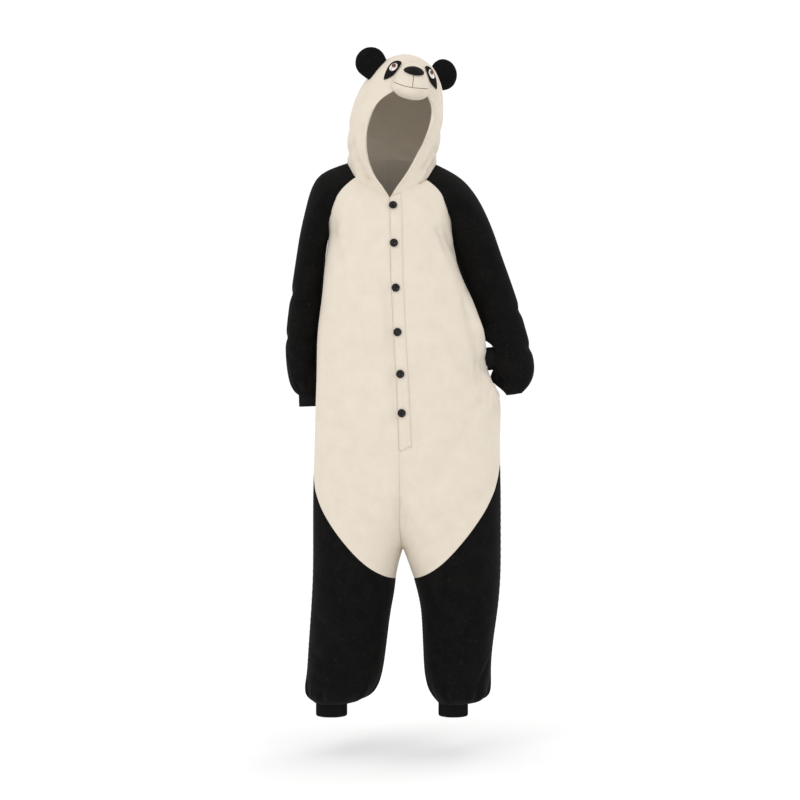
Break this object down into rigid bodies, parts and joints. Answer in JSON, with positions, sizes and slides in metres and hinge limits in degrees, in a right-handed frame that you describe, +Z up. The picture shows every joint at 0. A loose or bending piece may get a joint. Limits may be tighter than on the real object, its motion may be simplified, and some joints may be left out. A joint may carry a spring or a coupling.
{
  "type": "panda costume",
  "caption": "Hooded one-piece fleece panda costume in worn form: cream body and hood with an animal face, black sleeves, legs and ears, buttoned placket, ribbed cuffs.",
  "frame": {"origin": "between the shoulders at the base of the neck, where the garment hangs from the wearer", "axes": "+Z up, -Y to the front, +X to the wearer's left"},
  "size_m": [0.632, 0.2902, 1.6655],
  "materials": {
    "cream_fleece": "soft napped fleece",
    "black_fleece": "soft napped fleece",
    "black_rib": "ribbed knit",
    "black_felt": "flat felt",
    "white_felt": "flat felt",
    "brown_felt": "flat felt",
    "button_plastic": "polished"
  },
  "bodies": {
    "root": {"front_left": "cream_fleece", "front_right": "cream_fleece", "back_left": "cream_fleece", "back_right": "cream_fleece", "hood_left": "cream_fleece", "hood_right": "cream_fleece", "sleeve_left": "black_fleece", "sleeve_right": "black_fleece", "leg_front_left": "black_fleece", "leg_front_right": "black_fleece", "leg_back_left": "black_fleece", "leg_back_right": "black_fleece", "wrist_cuff_left": "black_rib", "wrist_cuff_right": "black_rib", "ankle_cuff_left": "black_rib", "ankle_cuff_right": "black_rib", "ear_left": "black_fleece", "ear_right": "black_fleece", "eye_patch_left": "black_felt", "eye_patch_right": "black_felt", "eye_white_left": "white_felt", "eye_white_right": "white_felt", "pupil_left": "brown_felt", "pupil_right": "brown_felt", "muzzle": "cream_fleece", "nose": "black_fleece", "placket": "cream_fleece", "button_1": "button_plastic", "button_2": "button_plastic", "button_3": "button_plastic", "button_4": "button_plastic", "button_5": "button_plastic", "button_6": "button_plastic"}
  },
  "joints": []
}
